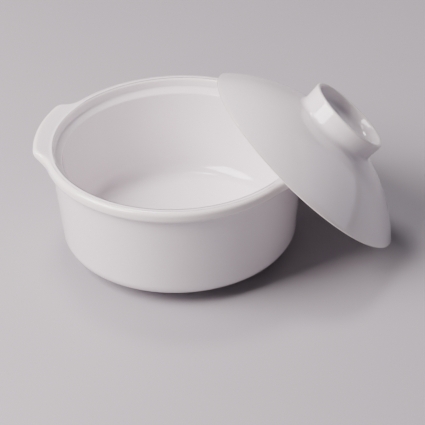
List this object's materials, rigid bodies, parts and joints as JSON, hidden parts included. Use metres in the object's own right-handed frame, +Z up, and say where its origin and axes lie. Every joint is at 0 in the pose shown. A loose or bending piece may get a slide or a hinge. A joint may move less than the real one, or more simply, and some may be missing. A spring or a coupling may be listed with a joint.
{
  "type": "covered serving bowl",
  "caption": "Round white porcelain serving bowl with a rolled rim, small lugs and a foot ring, its shallow domed lid with ring knob leaning on the rim.",
  "frame": {"origin": "on the bowl's axis, in the plane its foot ring rests on", "axes": "+Z up along the bowl's axis; +X along the two lugs, towards the lug that the lid leans over"},
  "size_m": [0.2762, 0.2226, 0.1339],
  "materials": {
    "glazed_porcelain": "glossy clear glaze over white porcelain"
  },
  "bodies": {
    "bowl": {"bowl": "glazed_porcelain"},
    "lid": {"lid": "glazed_porcelain"}
  },
  "joints": [
    {"name": "lid_lift", "type": "hinge", "parent": "bowl", "child": "lid", "pos_m": [-0.02433, -0.02178, -0.01465], "axis": [0.5053, -0.7932, 0.3398], "range_deg": [0, 48.72]}
  ]
}
